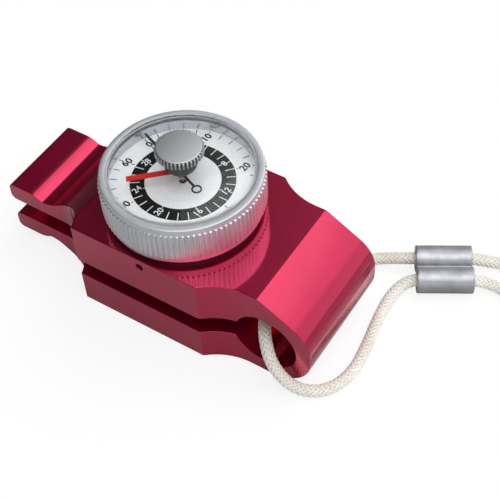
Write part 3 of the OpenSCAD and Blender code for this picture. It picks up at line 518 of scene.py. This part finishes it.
# Dial: a white enamelled plate with a black ring printed on it. Pounds run round the rim from 0 to 60,
# clockwise, and kilograms stand in white on the ring. A long line breaks off round each number.
DIAL_FACE = 39.4
PRINT_T = 0.03
RING_IN, RING_OUT = 10.27, 14.22
ZERO_AT = 157
READING = 82
POUND = 330.2 / 60
KILOGRAM = POUND * 2.2046
POUND_LINE = {"wide": 0.24, "low": DIAL_FACE}
POUND_NUMBER = {"at": 17.1, "size": 3.0, "weight": 0.09}
KILOGRAM_LINE = {"wide": 0.26, "low": DIAL_FACE + PRINT_T}
KILOGRAM_NUMBER = {"at": 12.4, "size": 2.6, "weight": 0.03}


def printed_ring(name, inner, outer):
    """A flat printed ring on the dial."""
    bpy.ops.object.select_all(action="DESELECT")
    bpy.ops.mesh.primitive_circle_add(vertices=144, radius=outer * MM, fill_type="NOTHING",
                                      location=(DIAL_X * MM, 0, (DIAL_FACE + PRINT_T) * MM))
    piece = bpy.context.object
    piece.name = piece.data.name = name
    bpy.ops.object.transform_apply(location=True)
    bpy.ops.object.mode_set(mode="EDIT")
    bpy.ops.mesh.select_all(action="SELECT")
    bpy.ops.mesh.extrude_edges_move()
    bpy.ops.transform.resize(value=(inner / outer, inner / outer, 1), center_override=(DIAL_X * MM, 0, 0))
    bpy.ops.mesh.select_all(action="SELECT")
    bpy.ops.mesh.normals_make_consistent(inside=False)
    bpy.ops.mesh.extrude_region_move(TRANSFORM_OT_translate={"value": (0, 0, -PRINT_T * MM)})
    bpy.ops.mesh.select_all(action="SELECT")
    bpy.ops.mesh.normals_make_consistent(inside=False)
    bpy.ops.object.mode_set(mode="OBJECT")
    return piece


def lay_print(piece, angle, out, low, turned):
    """Lays a print on the dial at its angle and its distance from the axis."""
    piece.rotation_euler[2] = math.radians(turned)
    piece.location = ((DIAL_X + out * math.cos(math.radians(angle))) * MM,
                      out * math.sin(math.radians(angle)) * MM, (low + PRINT_T / 2) * MM)
    bpy.ops.object.transform_apply(location=True, rotation=True, scale=True)
    return piece


def printed_mark(angle, inner, outer, wide, low):
    """One radial line of print."""
    bpy.ops.object.select_all(action="DESELECT")
    bpy.ops.mesh.primitive_cube_add(size=1)
    piece = bpy.context.object
    piece.scale = ((outer - inner) * MM, wide * MM, PRINT_T * MM)
    return lay_print(piece, angle, (inner + outer) / 2, low, angle)


def printed_number(words, angle, low, at, size, weight):
    """A number that stands upright in the dial's reading direction."""
    bpy.ops.object.select_all(action="DESELECT")
    bpy.ops.object.text_add()
    piece = bpy.context.object
    piece.data.body = words
    piece.data.size = size * MM
    piece.data.align_x = "CENTER"
    piece.data.align_y = "CENTER"
    piece.data.extrude = PRINT_T / 2 * MM
    piece.data.offset = weight * MM
    piece.data.resolution_u = 4
    bpy.ops.object.convert(target="MESH")
    return lay_print(bpy.context.object, angle, at, low, READING)


def numbered_mark(words, angle, inner, outer, line, number):
    """A long line of print that breaks off round the number in its middle."""
    slant = math.radians(angle - READING)
    gap, half_digit, half_height = [share * number["size"] for share in (0.04, 0.28, 0.36)]
    reach = gap + min(half_digit * len(words) / max(abs(math.cos(slant)), 0.01),
                      half_height / max(abs(math.sin(slant)), 0.01))
    return [printed_number(words, angle, line["low"], **number),
            printed_mark(angle, inner, number["at"] - reach, **line),
            printed_mark(angle, number["at"] + reach, outer, **line)]


def join(name, pieces):
    """Makes one piece of several."""
    bpy.ops.object.select_all(action="DESELECT")
    for piece in pieces:
        piece.select_set(True)
    bpy.context.view_layer.objects.active = pieces[0]
    bpy.ops.object.join()
    joined = bpy.context.object
    joined.name = joined.data.name = name
    joined.data.materials.clear()
    return joined


black = [printed_ring("kilogram_ring", RING_IN, RING_OUT)]
for pounds in range(0, 62, 2):
    angle = ZERO_AT - pounds * POUND
    if pounds % 10:
        black.append(printed_mark(angle, 17.8, 19.7, **POUND_LINE))
    else:
        black += numbered_mark(str(pounds), angle, 14.7, 19.7, POUND_LINE, POUND_NUMBER)
black_print = join("dial_print_black", black)
white = []
for kilograms in range(1, 29):
    angle = ZERO_AT - kilograms * KILOGRAM
    if kilograms % 4:
        white.append(printed_mark(angle, 11.6, 14.15, **KILOGRAM_LINE))
    else:
        white += numbered_mark(str(kilograms), angle, 10.35, 14.15, KILOGRAM_LINE, KILOGRAM_NUMBER)
white_print = join("dial_print_white", white)

# Screen print: a thin film of ink, near black or white, a little uneven, with a low gloss.
for piece, name, thin, full in ((black_print, "black_screen_ink", "#0c0d0e", "#060708"),
                                (white_print, "white_screen_ink", "#e4e5e4", "#f4f4f2")):
    ink, tree, shader, place = new_finish(name)
    film = add(tree, "ShaderNodeTexNoise", {"Scale": 1 / (0.5 * MM), "Detail": 2.0}, {"Vector": place})
    tone = add(tree, "ShaderNodeValToRGB", {"stops": ((0.3, thin), (0.6, full))},
               {"Fac": film.outputs["Fac"]})
    wire(tree, shader, {"Roughness": 0.6, "Specular IOR Level": 0.15}, {"Base Color": tone.outputs["Color"]})
    piece.data.materials.append(ink)
    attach(piece, "bezel")


def coat(node, finish):
    """Gives a solid that carries over its finish."""
    slots = parts[node].data.materials
    slots.clear()
    slots.append(finish)


# White enamel of the dial plate: even, with a faint orange peel.
enamel, tree, shader, place = new_finish("white_enamel")
peel = add(tree, "ShaderNodeTexNoise", {"Scale": 1 / (0.9 * MM), "Detail": 1.0}, {"Vector": place})
tone = add(tree, "ShaderNodeValToRGB", {"stops": ((0.3, "#f0f3f5"), (0.7, "#f7f9fa"))},
           {"Fac": peel.outputs["Fac"]})
wavy = add(tree, "ShaderNodeBump", {"Strength": 0.04, "Distance": 0.02 * MM}, {"Height": peel.outputs["Fac"]})
wire(tree, shader, {"Roughness": 0.4},
     {"Base Color": tone.outputs["Color"], "Normal": wavy.outputs["Normal"]})
coat("dial_plate", enamel)

# Pointers: blanked from thin sheet and sprayed, the force pointer black and the peak pointer red.
# Their hubs are left bare.
HUB_R = 1.25
for node, name, dark, light in (("force_pointer", "black_pointer_paint", "#0f0f11", "#1d1d20"),
                                ("peak_pointer", "red_pointer_paint", "#c01410", "#d81c12")):
    paint, tree, shader, place = new_finish(name)
    spray = add(tree, "ShaderNodeTexNoise", {"Scale": 1 / (0.3 * MM), "Detail": 2.0}, {"Vector": place})
    tone = add(tree, "ShaderNodeValToRGB", {"stops": ((0.3, dark), (0.7, light))},
               {"Fac": spray.outputs["Fac"]})
    bare = add(tree, "ShaderNodeMath", {"operation": "LESS_THAN", 1: HUB_R * MM}, {0: off_axis(tree, place)})
    skin_tone = add(tree, "ShaderNodeMix", {"data_type": "RGBA", 7: linear("#a4a5a8")}, {
        0: bare.outputs["Value"], 6: tone.outputs["Color"]})
    wire(tree, shader, {"Roughness": 0.45}, {
        "Base Color": skin_tone.outputs[2], "Metallic": bare.outputs["Value"]})
    coat(node, paint)

# Reset knob: turned from aluminium with a knurled head over a plain bowl,
# and pressed on the peak pointer's stem.
KNOB_R = 6.45
KNOB_RIBS = 38
knob = turn_up("knurled_knob", [
    (0, 52.75), (5.7, 52.75), (5.9, 52.7), (6, 52.6), (6, 52.5), (6.3, 52.45), (KNOB_R, 52.3),
    (KNOB_R, 50.6), (6.3, 50.45), (6, 50.4), (5.9, 50.35), (4.6, 50.35), (4.4, 50.2), (4.4, 46.75)]
    + arc(3, 46.75, 1.4, -10, -90, 8)
    + [(1.52, 45.35), (1.52, 48.35), (0, 48.35)], CUTS_PER_RIB * KNOB_RIBS)
press_ribs(knob, KNOB_R, KNOB_RIBS)
bpy.ops.object.shade_smooth_by_angle(angle=math.radians(40))

# Turned aluminium: faced in the lathe, so fine rings run round the axis, under a clear satin anodising.
# The top and the crests of the ribs keep the pale tone, and the grooves and the bowl are darkened as painted
# shade.
turned_aluminium, tree, shader, place = new_finish("turned_aluminium")
centred = add(tree, "ShaderNodeMapping", {"Location": (-DIAL_X * MM, 0, 0)}, {"Vector": place})
facing = add(tree, "ShaderNodeTexWave", {
    "wave_type": "RINGS", "rings_direction": "Z", "Scale": 1 / (0.35 * MM) / 20 * math.pi, "Distortion": 1.0,
    "Detail": 2.0, "Detail Scale": 4.0}, {"Vector": centred.outputs["Vector"]})
head = add(tree, "ShaderNodeSeparateXYZ", {}, {"Vector": place})
proud = add(tree, "ShaderNodeMapRange", {"From Min": 6.05 * MM, "From Max": 6.35 * MM},
            {"Value": off_axis(tree, place)})
on_top = add(tree, "ShaderNodeMapRange", {"From Min": 52.45 * MM, "From Max": 52.55 * MM},
             {"Value": head.outputs["Z"]})
outside_painted_shade = add(tree, "ShaderNodeMath", {"operation": "MAXIMUM"}, {
    0: proud.outputs["Result"], 1: on_top.outputs["Result"]})
# Painted shade: grey in the grooves and the bowl, pale only on the top and the rib crests.
tone = add(tree, "ShaderNodeValToRGB", {"stops": ((0, "#6a6a6a"), (1, "#c9cbcd"))},
           {"Fac": outside_painted_shade.outputs["Value"]})
gloss = add(tree, "ShaderNodeMapRange", {"To Min": 0.48, "To Max": 0.56}, {"Value": facing.outputs["Fac"]})
rings_cut = add(tree, "ShaderNodeBump", {"Strength": 0.015, "Distance": 0.01 * MM},
                {"Height": facing.outputs["Fac"]})
wire(tree, shader, {"Metallic": 1.0}, {
    "Base Color": tone.outputs["Color"], "Roughness": gloss.outputs["Result"],
    "Normal": rings_cut.outputs["Normal"]})
knob.data.materials.append(turned_aluminium)
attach(knob, "peak")
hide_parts("reset_knob")

# Movement and fixings: brass plates, bush and gear, steel arbors, springs and screws, a buffed spacer round
# the dial, and a case whose dark grey is painted shade for the shaded gap under the bezel. They carry over
# from the solids, and each group has its own metal, with a fine grain.
for name, dark, light, low, high, grit, nodes in (
        ("rolled_brass", "#b08a3e", "#c7a256", 0.25, 0.4, 0.4, (
            "guide_bush", "sector_brackets", "arbor_cock", "top_plate", "plate_pillars", "sector_gear",
            "hairspring_collet", "hairspring_stud", "friction_washer")),
        ("bright_steel", "#b9bbbd", "#cfd0d2", 0.18, 0.32, 0.3, (
            "anvil_button", "contact_point", "plunger_rack", "sector_arbor", "pointer_arbor",
            "movement_screws", "return_spring", "bezel_wire", "dial_clip", "knob_stem")),
        ("buffed_aluminium", "#c4c7ce", "#d0d2d8", 0.2, 0.3, 0.8, ("spacer_ring",)),
        ("blued_steel", "#2a3142", "#3a4358", 0.25, 0.35, 0.3, ("hairspring",)),
        ("blackened_steel", "#1d1d20", "#2b2b2f", 0.4, 0.55, 0.3, ("clamp_screw",)),
        # The case's dark grey is painted shade: where the case shows, in the gap under the bezel, it lies in
        # shadow.
        ("case_dark_grey_painted_shade", "#3b3c40", "#4a4b50", 0.4, 0.55, 0.5, ("gauge_case",))):
    metal, tree, shader, place = new_finish(name)
    grain = add(tree, "ShaderNodeTexNoise", {"Scale": 1 / (grit * MM), "Detail": 3.0}, {"Vector": place})
    tone = add(tree, "ShaderNodeValToRGB", {"stops": ((0.3, dark), (0.7, light))},
               {"Fac": grain.outputs["Fac"]})
    gloss = add(tree, "ShaderNodeMapRange", {"To Min": low, "To Max": high}, {"Value": grain.outputs["Fac"]})
    wire(tree, shader, {"Metallic": 1.0}, {
        "Base Color": tone.outputs["Color"], "Roughness": gloss.outputs["Result"]})
    for node in nodes:
        coat(node, metal)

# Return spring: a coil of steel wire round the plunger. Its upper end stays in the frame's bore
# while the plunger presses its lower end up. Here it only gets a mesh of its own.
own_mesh(parts["return_spring"])

# Studio floor: white paper. It shows white to the eye, is dimmer in the metal, and keeps a soft shadow.
# Sizes from here on are in metres.
bpy.ops.object.select_all(action="DESELECT")
bpy.ops.mesh.primitive_circle_add(vertices=64, radius=3, fill_type="NGON", location=(0, 0, 0))
floor = bpy.context.object
floor.name = "paper_floor"
paper, tree, shader, place = new_finish("white_paper")
pulp = add(tree, "ShaderNodeTexNoise", {"Scale": 1 / (2 * MM), "Detail": 2.0}, {"Vector": place})
tone = add(tree, "ShaderNodeValToRGB", {"stops": ((0, "#f1f1f1"), (1, "#f6f6f6"))},
           {"Fac": pulp.outputs["Fac"]})
wire(tree, shader, {"Roughness": 0.9, "Specular IOR Level": 0.1}, {"Base Color": tone.outputs["Color"]})
glow = add(tree, "ShaderNodeEmission", {"Color": (1, 1, 1, 1), "Strength": 1.04})
path = add(tree, "ShaderNodeLightPath", {})
to_eye = add(tree, "ShaderNodeMath", {"operation": "MULTIPLY", 1: 0.8}, {0: path.outputs["Is Camera Ray"]})
seen = add(tree, "ShaderNodeMixShader", {}, {
    0: to_eye.outputs["Value"], 1: shader.outputs["BSDF"], 2: glow.outputs["Emission"]})
dim = add(tree, "ShaderNodeBsdfDiffuse", {"Color": linear("#202020")})
in_metal = add(tree, "ShaderNodeMath", {"operation": "MULTIPLY", 1: 0.48}, {0: path.outputs["Is Glossy Ray"]})
mixed = add(tree, "ShaderNodeMixShader", {}, {
    0: in_metal.outputs["Value"], 1: seen.outputs["Shader"], 2: dim.outputs["BSDF"]})
tree.links.new(mixed.outputs["Shader"], tree.nodes["Material Output"].inputs["Surface"])
floor.data.materials.append(paper)

# Studio room: it grows from dark to bright towards the bend's side, so the metal shades from end to end.
# The eye sees a plain white backdrop in its place.
BRIGHT_SIDE = (0.905, 0.302, -0.302)
room = bpy.data.worlds.new("grey_room")
room.use_nodes = True
bpy.context.scene.world = room
tree = room.node_tree
ways = add(tree, "ShaderNodeTexCoord", {})
toward = add(tree, "ShaderNodeVectorMath", {"operation": "DOT_PRODUCT", 1: BRIGHT_SIDE},
             {0: ways.outputs["Generated"]})
walls = add(tree, "ShaderNodeMapRange", {
    "interpolation_type": "SMOOTHSTEP", "From Min": -0.62, "From Max": 0.2, "To Min": 0.045, "To Max": 0.92},
    {"Value": toward.outputs["Value"]})
tree.links.new(walls.outputs["Result"], tree.nodes["Background"].inputs["Color"])
backdrop = add(tree, "ShaderNodeBackground", {"Color": (0.95, 0.95, 0.95, 1)})
path = add(tree, "ShaderNodeLightPath", {})
behind = add(tree, "ShaderNodeMixShader", {}, {
    0: path.outputs["Is Camera Ray"], 1: tree.nodes["Background"].outputs["Background"],
    2: backdrop.outputs["Background"]})
tree.links.new(behind.outputs["Shader"], tree.nodes["World Output"].inputs["Surface"])

# Studio flag: a card of black felt off the pads' end. Only the metal mirrors it.
bpy.ops.object.select_all(action="DESELECT")
bpy.ops.mesh.primitive_plane_add(size=1)
flag = bpy.context.object
flag.name = "dark_flag"
flag.scale = (0.12, 0.34, 1)
flag.rotation_euler = (0, math.pi / 2, math.radians(-25))
flag.location = (-0.22, 0.1, 0.06)
bpy.ops.object.transform_apply(location=True, rotation=True, scale=True)
felt, tree, shader, _ = new_finish("black_felt")
wire(tree, shader, {"Base Color": linear("#141414"), "Roughness": 1.0}, {})
path = add(tree, "ShaderNodeLightPath", {})
clear = add(tree, "ShaderNodeBsdfTransparent", {})
passed = add(tree, "ShaderNodeMixShader", {}, {
    0: path.outputs["Is Glossy Ray"], 1: clear.outputs["BSDF"], 2: shader.outputs["BSDF"]})
tree.links.new(passed.outputs["Shader"], tree.nodes["Material Output"].inputs["Surface"])
flag.data.materials.append(felt)

# Studio lamps: a softbox behind the gauge, made of four disks so that it fades towards its rim,
# and a softbox high in front. All of them point at the gauge.
for name, at, wide, power in (
        ("softbox_back_rim", (0.187, 0.358, 0.694), 0.92, 0.4),
        ("softbox_back", (0.127, 0.331, 0.717), 0.76, 1.0),
        ("softbox_back_middle", (0.127, 0.331, 0.717), 0.54, 1.15),
        ("softbox_back_core", (0.127, 0.331, 0.717), 0.34, 0.9),
        ("softbox_front", (0.14, -0.24, 0.86), 0.8, 2.7)):
    bpy.ops.object.select_all(action="DESELECT")
    bpy.ops.object.light_add(type="AREA", location=at)
    lamp = bpy.context.object
    lamp.name = name
    lamp.data.shape = "DISK"
    lamp.data.size = wide
    lamp.data.energy = power
    lamp.rotation_euler = (-lamp.location).to_track_quat("-Z", "Y").to_euler()
